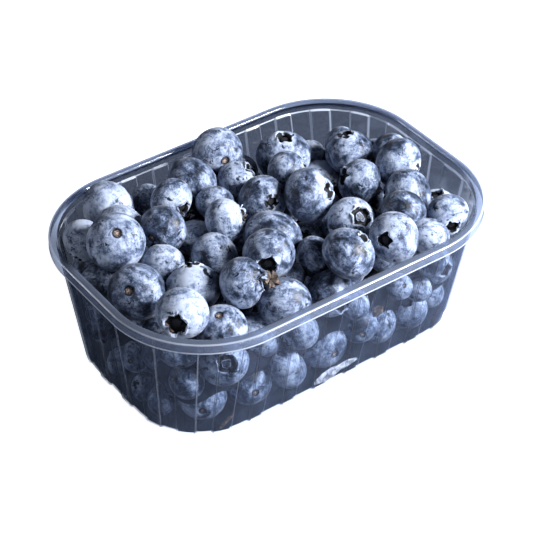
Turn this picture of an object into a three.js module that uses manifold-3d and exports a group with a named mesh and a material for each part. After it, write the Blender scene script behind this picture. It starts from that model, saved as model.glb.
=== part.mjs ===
import * as THREE from 'three';
import { mergeVertices } from 'three/addons/utils/BufferGeometryUtils.js';
import Module from 'manifold-3d';

// A ribbed clear plastic punnet, filled past its rim with blueberries. Millimetres, +Z up,
// standing on z = 0, its long sides along X.

// ---- Driving sizes of the tray ----
const LENGTH = 143; // over the rim, along X
const WIDTH = 100; // over the rim, along Y
const HEIGHT = 49; // floor to the top of the rim
const RIM_CORNER = 35.5; // corner radius of the rim's edge, seen from above
const RIM_OVERHANG = 2.5; // from the outside of the wall out to the rim's edge
const BASE_LENGTH = 127.2; // outside of the ribs where they meet the floor
const BASE_WIDTH = 76.6;
const BASE_CORNER = 26.3;
const SHEET = 0.5; // thickness of the plastic
const SKIRT = 4.1; // how far the rim's edge turns down
const SHELF_Z = 45.5; // the ribs end here, under a plain band
const EDGE_ROUND = 1.6; // rounding between wall and floor
const LEDGE = 0.5; // height of the slope that closes a panel under the shelf
const CREST_WIDTH = 0.9; // from the rim's edge in to the flat of its top
const CREST_FALL = 0.6; // and down to where the skirt is upright
const CREST_SLOPE = 0.3; // how far the crest's lower corner stands in from the edge
const INNER_SLOPE = 0.4; // slope on the rim's inner edge, across
const INNER_FALL = 0.5; // and down

// ---- Driving sizes of the ribs ----
const RIB_DEPTH = 0.6;
const RIB_PITCH = 13.2; // along the straight sides
const RIB_FOOT = 5; // width of a rib at the floor
const RIB_HEAD = 7; // width of a rib at the shelf
const RIB_SLOPE = 0.4; // its flanks lean by this much
const LONG_SIDE_RIBS = 6;
const SHORT_SIDE_RIBS = 2;
const CORNER_RIBS = [18.8, 45, 71.2]; // degrees round each corner
const CORNER_RIB_HALF = 6.5; // degrees
const CORNER_SLOPE = 1; // degrees

// ---- The berries ----
const GAP = 0.5; // between berries and plastic
const OBLATE = 0.88; // a berry's height over its width
const PRESS = 1; // how near the middles of neighbours come, over their mean width
const SWELL = 1.06; // corners of a ball with 12 sides stand out by this much
const SMALLEST = 12;
const LARGEST = 18;
const LAYERS = [8, 20, 32]; // heights of the hidden layers' middles
const LAYER_SWAY = 2; // a berry lies up to this much over or under its layer
const LAYER_STEP = 2; // degrees between the places tried round a layer
const NEXT_LAYER = [39, 36]; // heights tried for the berries between those on top
const NEXT_REACH = [60, 40]; // how far out they are tried, along X and Y
const NEXT_STEP = 4; // and how far apart
const CORE_FOOT = 6; // height of the core's underside
const CORE_TOP = 35;
const CORE_INSET = 5.5; // the core's sides stand in from the plastic
const CORE_SIDES = 32;
const CORE_CORNER = 4; // least radius of its corners
const CORE_BEVEL = 3; // along the edge of its underside
const DOME = [[10, 0], [4, 4], [0, 14]]; // its top: how far under CORE_TOP, how much further in
const SEAT_WIDTH = 8; // of the seats that hold the highest berries on the core
const SEAT_SUNK = 7; // how deep they stand in it
const SEAT_FROM = 2; // berries that reach this far into the core need none
const WELD = 1e-4; // corners nearer than this are one
const FINEST = 0.2; // slivers thinner than this are smoothed away

// Berries that show on top, from the left end to the right:
// [across, deep, high, width, bearing of the crown, lift of the crown]
const TOP_BERRIES = [
  [-60, 13, 37, 15, -126, -51],
  [-57, 26, 46, 15, -168, -42],
  [-54, 10, 54, 20, 52, -61],
  [-58, -7, 46, 19, 35, -41],
  [-55, -15, 33, 13, 148, -4],
  [-55, -29, 50, 17, -141, 9],
  [-42, 37, 47, 19, 169, -28],
  [-44, 22, 48, 16, 177, -34],
  [-43, 0, 46, 15, -126, -51],
  [-41, -15, 45, 18, 72, 61],
  [-43, -34, 42, 17, 19, -78],
  [-36, 10, 51, 16, 24, -7],
  [-26, 34, 42, 15, 167, -12],
  [-24, 23, 50, 15, -66, -10],
  [-24, 10, 42, 14, -108, -50],
  [-27, -7, 46, 17, 161, -20],
  [-30, -27, 50, 17, -47, 15],
  [-30, -33, 34, 14, -126, -51],
  [-20, -38, 43, 18, -122, -43],
  [-16, -22, 52, 17, -129, 8],
  [-16, 3, 50, 15, -46, 19],
  [-11, 16, 47, 14, -144, -50],
  [-10, 31, 47, 18, -176, -38],
  [-10, -25, 41, 11, -74, -27],
  [-5, -9, 46, 20, -150, -43],
  [-1, -37, 37, 17, -100, 5],
  [1, -24, 44, 14, 159, -10],
  [5, -39, 52, 18, -8, 49],
  [4, 38, 50, 18, 77, -11],
  [4, 23, 45, 16, -36, 53],
  [3, 8, 47, 17, -95, 29],
  [12, 35, 39, 14, -102, -43],
  [15, -2, 50, 19, -50, 22],
  [17, 13, 50, 15, -38, 18],
  [21, -18, 46, 17, -88, 45],
  [24, -39, 50, 17, -162, 33],
  [25, 26, 46, 19, -28, 87],
  [35, 19, 36, 15, -108, -50],
  [37, -2, 46, 16, 158, 29],
  [36, -27, 49, 16, -160, -45],
  [38, -40, 45, 14, -135, -51],
  [40, 30, 39, 10, -126, -51],
  [45, 14, 46, 17, 100, 78],
  [47, -16, 45, 18, 151, -9],
  [51, -33, 45, 15, -114, -11],
  [54, -2, 47, 18, -67, -5],
  [59, -19, 36, 14, 153, 81],
  [60, 10, 43, 13, -87, -37],
  [61, 19, 37, 11, -126, -51],
];

// Berries that press against the front and left walls, laid out as above
const WALL_BERRIES = [
  [-58, 6, 6, 11, 100, 20],
  [-57, -4, 16, 11, 30, -20],
  [-53, -12, 22, 13, -60, 10],
  [-58, -9, 6, 10, 170, 40],
  [-50, -13, 6, 10, 20, 60],
  [-58, -18, 6, 10, 120, -30],
  [-55, -27, 35, 15, 60, 30],
  [-53, -28, 20, 14, -10, -20],
  [-47, -28, 8, 16, 54, 2],
  [-42, -34, 27, 17, -115, 29],
  [-30, -32, 8, 15, 74, -10],
  [-24, -29, 24, 13, 40, 40],
  [-19, -35, 16, 11, 10, -70],
  [-15, -33, 7, 13, -135, 53],
  [-13, -36, 27, 14, -170, -20],
  [1, -32, 10, 17, 81, -10],
  [9, -36, 28, 11, -20, 30],
  [14, -34, 14, 13, 54, -11],
  [24, -32, 7, 14, 150, 20],
  [27, -39, 28, 9, 80, -40],
  [37, -32, 8, 14, -149, 66],
  [37, -37, 21, 10, 20, 10],
  [50, -30, 8, 10, 140, 30],
  [51, -31, 21, 13, -110, 20],
];

const DEGREE = Math.PI / 180;

// ---- Seeded draw, the same on every run ----
let seed = 2741;
function draw(low, high) {
  seed = (seed * 16807) % 2147483647;
  return low + (high - low) * seed / 2147483647;
}

function mix(a, b, share) {
  return a + (b - a) * share;
}

// Half length, half width and corner radius of the wall's outside at a height
function wallAt(z) {
  const share = Math.min(Math.max(z / SHELF_Z, 0), 1);
  return {
    a: mix(BASE_LENGTH / 2, LENGTH / 2 - RIM_OVERHANG, share),
    b: mix(BASE_WIDTH / 2, WIDTH / 2 - RIM_OVERHANG, share),
    r: mix(BASE_CORNER, RIM_CORNER - RIM_OVERHANG, share),
    share,
  };
}

// ---- Tray ----

// Stations round the outline: where each stands and whether it is on a rib (proud) or between.
function straightStations(side, ribs) {
  const stations = [];
  for (let i = 0; i < ribs; i++) {
    const middle = (i - (ribs - 1) / 2) * RIB_PITCH;
    stations.push({ side, middle, across: -1, slope: -1, proud: false });
    stations.push({ side, middle, across: -1, slope: 0, proud: true });
    stations.push({ side, middle, across: 1, slope: 0, proud: true });
    stations.push({ side, middle, across: 1, slope: 1, proud: false });
  }
  return stations;
}

function cornerStations(corner) {
  const stations = [];
  for (const middle of CORNER_RIBS) {
    const start = middle - CORNER_RIB_HALF;
    const end = middle + CORNER_RIB_HALF;
    stations.push({ corner, angle: start - CORNER_SLOPE, proud: false });
    stations.push({ corner, angle: start, proud: true });
    stations.push({ corner, angle: end, proud: true });
    stations.push({ corner, angle: end + CORNER_SLOPE, proud: false });
  }
  return stations;
}

// Anticlockwise from the right-hand end of the front side
const STATIONS = [
  ...straightStations('right', SHORT_SIDE_RIBS),
  ...cornerStations(0),
  ...straightStations('back', LONG_SIDE_RIBS),
  ...cornerStations(1),
  ...straightStations('left', SHORT_SIDE_RIBS),
  ...cornerStations(2),
  ...straightStations('front', LONG_SIDE_RIBS),
  ...cornerStations(3),
];

// One station of a ring: the ring stands `out` from the ribs' outside, panels `sunk` behind it
function stationPoint(station, z, out, sunk) {
  const wall = wallAt(z);
  const push = out - (station.proud ? 0 : sunk);
  if (station.corner !== undefined) {
    const turn = (station.corner * 90 + station.angle) * DEGREE;
    const signX = station.corner === 0 || station.corner === 3 ? 1 : -1;
    const signY = station.corner < 2 ? 1 : -1;
    const radius = wall.r + push;
    return [
      signX * (wall.a - wall.r) + radius * Math.cos(turn),
      signY * (wall.b - wall.r) + radius * Math.sin(turn),
      z,
    ];
  }
  const half = mix(RIB_FOOT, RIB_HEAD, wall.share) / 2;
  const along = station.middle + station.across * half + station.slope * RIB_SLOPE;
  if (station.side === 'right') return [wall.a + push, along, z];
  if (station.side === 'left') return [-wall.a - push, -along, z];
  if (station.side === 'back') return [-along, wall.b + push, z];
  return [along, -wall.b - push, z];
}

// Rings from the middle of the underside, up the outside, over the rim and down the inside
const RINGS = [
  [0, -EDGE_ROUND, RIB_DEPTH],
  [EDGE_ROUND, 0, RIB_DEPTH],
  [SHELF_Z - LEDGE, 0, RIB_DEPTH],
  [SHELF_Z, 0, 0],
  [HEIGHT - SHEET, 0, 0],
  [HEIGHT - SHEET, RIM_OVERHANG - CREST_WIDTH, 0],
  [HEIGHT - SKIRT, RIM_OVERHANG - SHEET, 0],
  [HEIGHT - SKIRT, RIM_OVERHANG, 0],
  [HEIGHT - CREST_FALL, RIM_OVERHANG - CREST_SLOPE, 0],
  [HEIGHT, RIM_OVERHANG - CREST_WIDTH, 0],
  [HEIGHT, INNER_SLOPE - SHEET, 0],
  [HEIGHT - INNER_FALL, -SHEET, 0],
  [SHELF_Z, -SHEET, 0],
  [SHELF_Z - LEDGE, -SHEET, RIB_DEPTH],
  [EDGE_ROUND, -SHEET, RIB_DEPTH],
  [SHEET, -SHEET - EDGE_ROUND, RIB_DEPTH],
];

function trayGeometry() {
  const points = [];
  for (const [z, out, sunk] of RINGS) {
    for (const station of STATIONS) points.push(...stationPoint(station, z, out, sunk));
  }
  const count = STATIONS.length;
  const faces = [];
  for (let ring = 0; ring + 1 < RINGS.length; ring++) {
    for (let i = 0; i < count; i++) {
      const a = ring * count + i;
      const b = ring * count + (i + 1) % count;
      faces.push(a, b, b + count, a, b + count, a + count);
    }
  }
  const under = points.length / 3;
  points.push(0, 0, 0, 0, 0, SHEET);
  const inside = (RINGS.length - 1) * count;
  for (let i = 0; i < count; i++) {
    const next = (i + 1) % count;
    faces.push(under, next, i);
    faces.push(under + 1, inside + i, inside + next);
  }
  const geometry = new THREE.BufferGeometry();
  geometry.setAttribute('position', new THREE.Float32BufferAttribute(points, 3));
  geometry.setIndex(faces);
  return geometry;
}

// ---- Heap ----

// Free room inside the panels at a height
function roomAt(z) {
  const wall = wallAt(z);
  const inset = RIB_DEPTH + SHEET + GAP;
  return { a: wall.a - inset, b: wall.b - inset, r: wall.r - inset };
}

// Moves a berry in until it clears the walls, the floor and the rim
function keepInside(berry) {
  const room = roomAt(berry.z);
  const over = Math.max(0, berry.z - HEIGHT);
  const half = berry.d / 2;
  const reach = Math.sqrt(Math.max(0, half * half - over * over)) * SWELL;
  const boxX = room.a - room.r;
  const boxY = room.b - room.r;
  const fromX = berry.x - Math.min(Math.max(berry.x, -boxX), boxX);
  const fromY = berry.y - Math.min(Math.max(berry.y, -boxY), boxY);
  const from = Math.hypot(fromX, fromY);
  const limit = room.r - reach;
  if (from > limit) {
    berry.x -= fromX * (1 - limit / from);
    berry.y -= fromY * (1 - limit / from);
  }
  berry.z = Math.max(berry.z, half * SWELL + SHEET + GAP);
  return berry;
}

function listedBerry([x, y, z, d, bearing, lift]) {
  return keepInside({ x, y, z, d, bearing, lift });
}

function fits(berry, others) {
  for (const other of others) {
    const apart = Math.hypot(berry.x - other.x, berry.y - other.y, berry.z - other.z);
    if (apart < PRESS * (berry.d + other.d) / 2) return false;
  }
  return true;
}

function tryBerry(berries, x, y, z) {
  const d = draw(SMALLEST, LARGEST);
  const berry = { x, y, z, d, bearing: draw(0, 360), lift: draw(-60, 60) };
  keepInside(berry);
  if (fits(berry, berries)) berries.push(berry);
}

// Fills the wall where the listed berries leave it free, with a ring of berries in each layer
function fillLayers(berries) {
  for (const height of LAYERS) {
    for (let angle = 0; angle < 360; angle += LAYER_STEP) {
      const x = LENGTH * Math.cos(angle * DEGREE);
      const y = LENGTH * Math.sin(angle * DEGREE);
      tryBerry(berries, x, y, height + draw(-LAYER_SWAY, LAYER_SWAY));
    }
  }
}

// Fills between the berries on top with berries that lie lower
function fillBetween(berries) {
  const [reachX, reachY] = NEXT_REACH;
  for (const height of NEXT_LAYER) {
    for (let x = -reachX; x <= reachX; x += NEXT_STEP) {
      for (let y = -reachY; y <= reachY; y += NEXT_STEP) {
        tryBerry(berries, x, y, height);
      }
    }
  }
}

function closed(geometry) {
  geometry.deleteAttribute('normal');
  geometry.deleteAttribute('uv');
  return mergeVertices(geometry, WELD);
}

const wasm = await Module();
wasm.setup();

function toSolid(geometry) {
  const mesh = closed(geometry);
  const vertProperties = new Float32Array(mesh.attributes.position.array);
  const triVerts = new Uint32Array(mesh.index.array);
  return new wasm.Manifold(new wasm.Mesh({ numProp: 3, vertProperties, triVerts }));
}

// A berry: a flattened ball whose short axis points to its crown
function berrySolid(berry, onTop) {
  const round = () => new THREE.IcosahedronGeometry(berry.d / 2, 1);
  const plain = () => new THREE.DodecahedronGeometry(SWELL * berry.d / 2, 0);
  const ball = onTop ? round() : plain();
  ball.scale(1, 1, OBLATE);
  ball.rotateY((90 - berry.lift) * DEGREE);
  ball.rotateZ(berry.bearing * DEGREE);
  ball.translate(berry.x, berry.y, berry.z);
  return toSolid(ball);
}

// A small seat between the core and a berry that lies clear above it
function seatSolid(berry) {
  const foot = CORE_TOP - SEAT_SUNK;
  const seat = new THREE.OctahedronGeometry(SEAT_WIDTH / 2, 0);
  seat.scale(1, 1, (berry.z - foot) / SEAT_WIDTH);
  seat.translate(berry.x, berry.y, (berry.z + foot) / 2);
  return toSolid(seat);
}

// The core under the berries: a rounded block with a domed top
function coreSolid() {
  const rings = [
    [CORE_FOOT, CORE_INSET + CORE_BEVEL],
    [CORE_FOOT + CORE_BEVEL, CORE_INSET],
    ...DOME.map(([under, further]) => [CORE_TOP - under, CORE_INSET + further]),
  ];
  const sides = CORE_SIDES;
  const points = [];
  for (const [z, inset] of rings) {
    const room = roomAt(z);
    const r = Math.max(room.r - inset, CORE_CORNER);
    for (let i = 0; i < sides; i++) {
      const turn = (i + 0.5) / sides * 2 * Math.PI;
      const x = Math.sign(Math.cos(turn)) * (room.a - inset - r) + r * Math.cos(turn);
      const y = Math.sign(Math.sin(turn)) * (room.b - inset - r) + r * Math.sin(turn);
      points.push(x, y, z);
    }
  }
  const faces = [];
  for (let ring = 0; ring + 1 < rings.length; ring++) {
    for (let i = 0; i < sides; i++) {
      const a = ring * sides + i;
      const b = ring * sides + (i + 1) % sides;
      faces.push(a, b, b + sides, a, b + sides, a + sides);
    }
  }
  const foot = points.length / 3;
  points.push(0, 0, CORE_FOOT, 0, 0, CORE_TOP);
  const top = (rings.length - 1) * sides;
  for (let i = 0; i < sides; i++) {
    const next = (i + 1) % sides;
    faces.push(foot, next, i);
    faces.push(foot + 1, top + i, top + next);
  }
  const geometry = new THREE.BufferGeometry();
  geometry.setAttribute('position', new THREE.Float32BufferAttribute(points, 3));
  geometry.setIndex(faces);
  return toSolid(geometry);
}

function heapGeometry() {
  const top = TOP_BERRIES.map(listedBerry);
  const berries = [...top, ...WALL_BERRIES.map(listedBerry)];
  fillBetween(berries);
  fillLayers(berries);
  const solids = berries.map((berry, i) => berrySolid(berry, i < top.length));
  const seats = top.filter((berry) => berry.z - berry.d / 2 > CORE_TOP - SEAT_FROM).map(seatSolid);
  const joined = wasm.Manifold.union([coreSolid(), ...seats, ...solids]);
  const pieces = joined.decompose().sort((a, b) => b.volume() - a.volume());
  const heap = pieces[0].simplify(FINEST);
  const mesh = heap.getMesh();
  const geometry = new THREE.BufferGeometry();
  geometry.setAttribute('position', new THREE.Float32BufferAttribute(mesh.vertProperties, 3));
  geometry.setIndex(Array.from(mesh.triVerts));
  return geometry;
}

// ---- Assembly ----
function named(name, geometry, color, roughness) {
  geometry.computeVertexNormals();
  const material = new THREE.MeshStandardMaterial({ color, roughness, metalness: 0 });
  const mesh = new THREE.Mesh(geometry, material);
  mesh.name = name;
  return mesh;
}

const punnet = new THREE.Group();
punnet.name = 'blueberry_punnet';
punnet.add(named('tray', trayGeometry(), '#5c667c', 0.2));
punnet.add(named('berries', heapGeometry(), '#55648a', 0.7));

export default punnet;
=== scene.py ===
"""The looks of a ribbed see-through punnet heaped with blueberries. Metres, +Z up."""

import math

import bpy
from mathutils import Matrix, Vector, noise


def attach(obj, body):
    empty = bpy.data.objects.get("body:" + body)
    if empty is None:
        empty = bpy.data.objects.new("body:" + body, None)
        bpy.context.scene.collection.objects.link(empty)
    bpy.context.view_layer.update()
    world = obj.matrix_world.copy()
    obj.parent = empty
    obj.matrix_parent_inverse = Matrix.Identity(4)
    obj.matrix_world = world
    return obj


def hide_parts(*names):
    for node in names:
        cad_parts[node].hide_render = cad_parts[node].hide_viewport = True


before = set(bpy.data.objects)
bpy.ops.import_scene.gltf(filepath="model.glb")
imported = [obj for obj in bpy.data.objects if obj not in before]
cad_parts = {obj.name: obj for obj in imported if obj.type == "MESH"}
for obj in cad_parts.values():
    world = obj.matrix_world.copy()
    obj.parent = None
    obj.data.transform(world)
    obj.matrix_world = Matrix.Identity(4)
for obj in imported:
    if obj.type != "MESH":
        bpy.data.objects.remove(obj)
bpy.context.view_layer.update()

MM = 0.001
DEGREE = math.pi / 180

# ---- Sizes of the tray, in millimetres, as the solid has them ----
LENGTH = 143
WIDTH = 100
HEIGHT = 49
RIM_CORNER = 35.5
RIM_OVERHANG = 2.5
BASE_LENGTH = 127.2
BASE_WIDTH = 76.6
BASE_CORNER = 26.3
SHEET = 0.5
SKIRT = 4.1
SHELF_Z = 45.5
EDGE_ROUND = 1.6
LEDGE = 0.6
INNER_BEND = 0.4
OUTER_BEND = 0.5
FLANGE_FALL = 0.35
LIP = 0.6
LIP_FLARE = 0.2
BEND_STEPS = 4
RIB_EDGE = 0.1

RIB_DEPTH = 0.6
RIB_PITCH = 13.2
RIB_FOOT = 5
RIB_HEAD = 7
RIB_SLOPE = 0.4
LONG_SIDE_RIBS = 6
SHORT_SIDE_RIBS = 2
CORNER_RIBS = (18.8, 45, 71.2)
CORNER_RIB_HALF = 6.5
CORNER_SLOPE = 1
CORNER_STEP = 2
CORNER_START = 3

# A rib's side stands at least this steeply, and is turned away from the wall's way out by more than
# the angle with this cosine
STEEP = 0.8
ACROSS = 0.87

# Angles between faces, in degrees: edges are rounded from the first, and shaded smooth up to the second
BEVEL_FROM = 28
SMOOTH_TO = 35

# Places in the tray's list of finishes: a stretch's first face, with its second face next to it.
# The ledge and the lip have a pale haze on one face: painted highlight, drawing lines of light along these
# bends
WALL = 0
PAINTED_HIGHLIGHT_LINES = 2
FLANGE = 4
# The rim's outer bend carries a pale strip: painted highlight, a line of light added to its real gloss
CREST_PAINTED_HIGHLIGHT = 6
SKIRT_SIDE = 8
# The ribs' sides have a paler finish: painted highlight, a line of light along each rib
RIB_SIDE_PAINTED_HIGHLIGHT = 10
EDGES = 12

# ---- Sizes of the heap, in millimetres, as the solid has them ----
GAP = 0.5
OBLATE = 0.88
PRESS = 1
SWELL = 1.06
SMALLEST = 12
LARGEST = 18
LAYERS = (8, 20, 32)
LAYER_TURN = 2
LAYER_SCATTER = 2
NEXT_LAYER = (39, 36)
FILL_LENGTH = 60
FILL_WIDTH = 40
FILL_STEP = 4
FILL_BLOOM = 4
DEEP_LAYER = (33, 30)
DEEP_PRESS = 0.85
CORE_LOW = 9
CORE_HIGH = 27
CORE_INSET = 7
CORE_ROUND = 8

# Seeds: where the heap's hidden berries lie, how each berry differs, how the dry petals curl
HEAP_SEED = 2741
BERRY_SEED = 90211
PETAL_SEED = 4421

# Berries that show on top, from the left end to the right:
# (across, deep, high, width, bearing of the crown, lift of the crown, bloom of ten, crown)
# The bloom of ten is partly the berry's own and partly painted light: it is raised on berries that lie in
# shade, so that they show brighter
TOP_BERRIES = (
    (-60, 13, 37, 15, -126, -51, 3, "shut"),
    (-57, 26, 46, 15, -168, -42, 9, "shut"),
    (-54, 10, 54, 20, 66, -58, 6, "shut"),
    (-58, -7, 46, 19, 35, -41, 3, "shut"),
    (-55, -15, 33, 13, 148, -4, 3, "shut"),
    (-55, -29, 50, 17, -141, 9, 8, "wide"),
    (-42, 37, 47, 19, 169, -28, 7, "shut"),
    (-44, 22, 48, 16, 177, -34, 9, "shut"),
    (-43, 0, 46, 15, -126, -51, 8, "shut"),
    (-41, -15, 45, 18, 72, 61, 9, "shut"),
    (-43, -34, 42, 17, 19, -78, 4, "shut"),
    (-36, 10, 51, 16, 24, -7, 4, "shut"),
    (-26, 34, 42, 15, 167, -12, 5, "shut"),
    (-24, 23, 50, 15, -80, -5, 6, "open"),
    (-24, 10, 42, 14, -108, -50, 7, "shut"),
    (-27, -7, 46, 17, 161, -20, 5, "shut"),
    (-30, -27, 50, 17, -47, 15, 4, "open"),
    (-30, -33, 34, 14, -126, -51, 8, "shut"),
    (-20, -38, 43, 18, -122, -43, 4, "shut"),
    (-16, -22, 52, 17, -129, 8, 4, "open"),
    (-16, 3, 50, 15, -32, 16, 7, "open"),
    (-11, 16, 47, 14, -144, -50, 7, "shut"),
    (-10, 31, 47, 18, -176, -38, 4, "shut"),
    (-10, -25, 41, 11, -74, -27, 4, "shut"),
    (-5, -9, 46, 20, -150, -43, 4, "shut"),
    (-1, -37, 37, 17, -90, -6, 4, "open"),
    (1, -24, 44, 14, 159, -10, 3, "shut"),
    (5, -39, 52, 18, -22, 49, 4, "star"),
    (4, 38, 50, 18, 77, -11, 5, "shut"),
    (4, 23, 45, 16, -22, 50, 7, "open"),
    (3, 8, 47, 17, -95, 29, 4, "shut"),
    (12, 35, 39, 14, -102, -43, 8, "shut"),
    (15, -2, 50, 19, -50, 22, 4, "star"),
    (17, 13, 50, 15, -38, 18, 4, "shut"),
    (21, -18, 46, 17, -88, 45, 7, "disc"),
    (24, -39, 50, 17, -159, 25, 6, "star"),
    (25, 26, 46, 19, -28, 87, 6, "star"),
    (35, 19, 36, 15, -108, -50, 10, "shut"),
    (37, -2, 46, 16, 158, 29, 4, "open"),
    (36, -27, 49, 16, -160, -45, 2, "shut"),
    (38, -40, 45, 14, -135, -51, 7, "shut"),
    (40, 30, 39, 10, -126, -51, 9, "shut"),
    (45, 14, 46, 17, 100, 78, 5, "shut"),
    (47, -16, 45, 18, 151, -9, 5, "shut"),
    (51, -33, 45, 15, -114, -11, 6, "open"),
    (54, -2, 47, 18, -67, -5, 4, "shut"),
    (59, -19, 36, 14, 153, 81, 9, "open"),
    (60, 10, 43, 13, -87, -37, 4, "shut"),
    (61, 19, 37, 11, -126, -51, 3, "shut"),
)

# Berries that press against the front and left walls, laid out as above
WALL_BERRIES = (
    (-58, 6, 6, 11, 100, 20, 6, "shut"),
    (-57, -4, 16, 11, 30, -20, 7, "shut"),
    (-53, -12, 22, 13, -60, 10, 1, "shut"),
    (-58, -9, 6, 10, 170, 40, 6, "shut"),
    (-50, -13, 6, 10, 20, 60, 8, "shut"),
    (-58, -18, 6, 10, 120, -30, 3, "shut"),
    (-55, -27, 35, 15, 60, 30, 4, "shut"),
    (-53, -28, 20, 14, -10, -20, 3, "shut"),
    (-47, -28, 8, 16, 54, 2, 5, "shut"),
    (-42, -34, 27, 17, -115, 29, 6, "disc"),
    (-30, -32, 8, 15, 74, -10, 4, "shut"),
    (-24, -29, 24, 13, 40, 40, 4, "shut"),
    (-19, -35, 16, 11, 10, -70, 6, "shut"),
    (-15, -33, 7, 13, -135, 53, 6, "shut"),
    (-13, -36, 27, 14, -170, -20, 6, "shut"),
    (1, -32, 10, 17, 88, -3, 3, "shut"),
    (9, -36, 28, 11, -20, 30, 5, "shut"),
    (14, -34, 14, 13, 66, -2, 4, "shut"),
    (24, -32, 7, 14, 150, 20, 4, "shut"),
    (27, -39, 28, 9, 80, -40, 6, "shut"),
    (37, -32, 8, 14, -149, 66, 4, "star"),
    (37, -37, 21, 10, 20, 10, 7, "shut"),
    (50, -30, 8, 10, 140, 30, 6, "shut"),
    (51, -31, 21, 13, -90, 12, 7, "open"),
)

# ---- Dried bits, in millimetres ----
STRIP_SIDES = 10
CRINKLES = 0.9
CRINKLE_HEIGHT = 0.35
PETAL_THICKNESS = 0.25
# Shares of the full width from one end to the other
PETAL_TAPER = (0.5, 0.9, 1, 0.8, 0.3)
STICK_TAPERS = {"brown": (0.8, 1, 1, 0.7), "pale": (0.4, 1, 0.9, 0.3)}
# Flowers: place, where they face, number of petals, their length and width
DRY_FLOWERS = (
    ((-24, -34, 53), (0.3, -0.75, 0.6), 9, 3.8, 1.8),
    ((-12, -1, 52), (0.6, -0.6, 0.5), 3, 2.8, 0.7),
    ((-22, 15, 49), (0, -0.9, -0.3), 2, 2.6, 1.2),
    ((-62, -33, 52), (-0.7, -0.6, 0.4), 2, 2.2, 1.2),
)
# Bits of stalk, and pale strips at the foot of the front wall that paint light on the bare base sheet:
# start, end, the way across, width, thickness, tone
DRY_STICKS = (
    ((-45, -35, 1), (-40, -35, 4), (0.5, 0.8, -0.2), 1.5, 1.0, "brown"),
    ((15, -41, 24), (15, -41, 27), (1, 0, 0), 4.6, 1.6, "brown"),
    ((-8, -37, 2), (4, -37, 4), (0, 0.4, 0.9), 3.4, 0.3, "pale"),
    ((1, -37, 4), (10, -37, 4), (0, 0.4, 0.9), 2.4, 0.3, "pale"),
)

# ---- One berry, modelled at this size and resized for each place ----
MODEL_WIDTH = 16
BERRY_SIDES = 40
BODY_STEPS = 16
LOBES = 5
SCAR_RADIUS = 0.9
HOLLOW = 1
SCAR = 2

# How the copies of a berry differ: lumps and frays to the metre, the lumps' height as a share of the
# berry's size and the frays' in millimetres, how far a lobe opens that has more left than the usual
# share, and how far the crown reaches past its hollow, in millimetres
LUMPS = 110
LUMP_HEIGHT = 0.02
FRAYS = 760
FRAY_HEIGHT = 0.55
LOBE_OPENING = 0.35
LOBE_USUALLY_LEFT = 0.6
CROWN_REACH = 1.4

# Crowns: radius of the hollow, its depth, height of the lobes over the skin,
# how far their tips stand out from the hollow's edge, their thickness, the notch between them,
# and the radius of the pale disc in the hollow
CROWNS = {
    "open": {"hollow": 2.4, "depth": 2.0, "height": 1.0, "lean": 0.5, "thick": 0.25, "notch": 1.5,
             "disc": 0},
    "shut": {"hollow": 2.0, "depth": 1.2, "height": 0.6, "lean": -0.6, "thick": 0.35, "notch": 0.7,
             "disc": 0},
    "star": {"hollow": 2.2, "depth": 1.8, "height": 0.3, "lean": 0.4, "thick": 0.25, "notch": 1.3,
             "disc": 0},
    "wide": {"hollow": 2.6, "depth": 2.2, "height": 0.8, "lean": 0.7, "thick": 0.25, "notch": 1.7,
             "disc": 0},
    "disc": {"hollow": 2.7, "depth": 1.3, "height": 0.9, "lean": 0.5, "thick": 0.25, "notch": 1.4,
             "disc": 1.5},
}

# ---- Seeded draw, worked out as for the solids ----
DRAW_FACTOR = 16807
DRAW_RANGE = 2147483647


class Draw:
    """Gives the next random value between two bounds, the same ones each run."""

    def __init__(self, seed):
        self.seed = seed

    def __call__(self, low, high):
        self.seed = self.seed * DRAW_FACTOR % DRAW_RANGE
        return low + (high - low) * self.seed / DRAW_RANGE


draw = Draw(HEAP_SEED)
vary = Draw(BERRY_SEED)
dry = Draw(PETAL_SEED)
noise.seed_set(BERRY_SEED)


def mix(a, b, share):
    return a + (b - a) * share


def wall_at(z):
    """Half length, half width and corner radius of the wall's outside at a height."""
    share = min(max(z / SHELF_Z, 0), 1)
    half_length = mix(BASE_LENGTH / 2, LENGTH / 2 - RIM_OVERHANG, share)
    half_width = mix(BASE_WIDTH / 2, WIDTH / 2 - RIM_OVERHANG, share)
    radius = mix(BASE_CORNER, RIM_CORNER - RIM_OVERHANG, share)
    return half_length, half_width, radius, share


# ---- Working in Blender ----
def deselect():
    if bpy.context.object and bpy.context.object.mode != "OBJECT":
        bpy.ops.object.mode_set(mode="OBJECT")
    bpy.ops.object.select_all(action="DESELECT")


def make_active(piece):
    deselect()
    piece.select_set(True)
    bpy.context.view_layer.objects.active = piece


def select_faces(piece, wanted):
    """Leaves exactly the wanted faces selected, in edit mode."""
    bpy.ops.object.mode_set(mode="EDIT")
    bpy.ops.mesh.select_all(action="DESELECT")
    bpy.ops.object.mode_set(mode="OBJECT")
    for face in piece.data.polygons:
        face.select = wanted(face)
    bpy.ops.object.mode_set(mode="EDIT")


def apply_modifier(piece, kind, **settings):
    make_active(piece)
    modifier = piece.modifiers.new(kind.title(), kind)
    for name, value in settings.items():
        setattr(modifier, name, value)
    bpy.ops.object.modifier_apply(modifier=modifier.name)


def add_piece(mesh_name, piece):
    piece.name = mesh_name
    piece.data.name = mesh_name
    return piece


def join(pieces, name):
    deselect()
    for piece in pieces:
        piece.select_set(True)
    bpy.context.view_layer.objects.active = pieces[0]
    bpy.ops.object.join()
    return add_piece(name, bpy.context.object)


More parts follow.
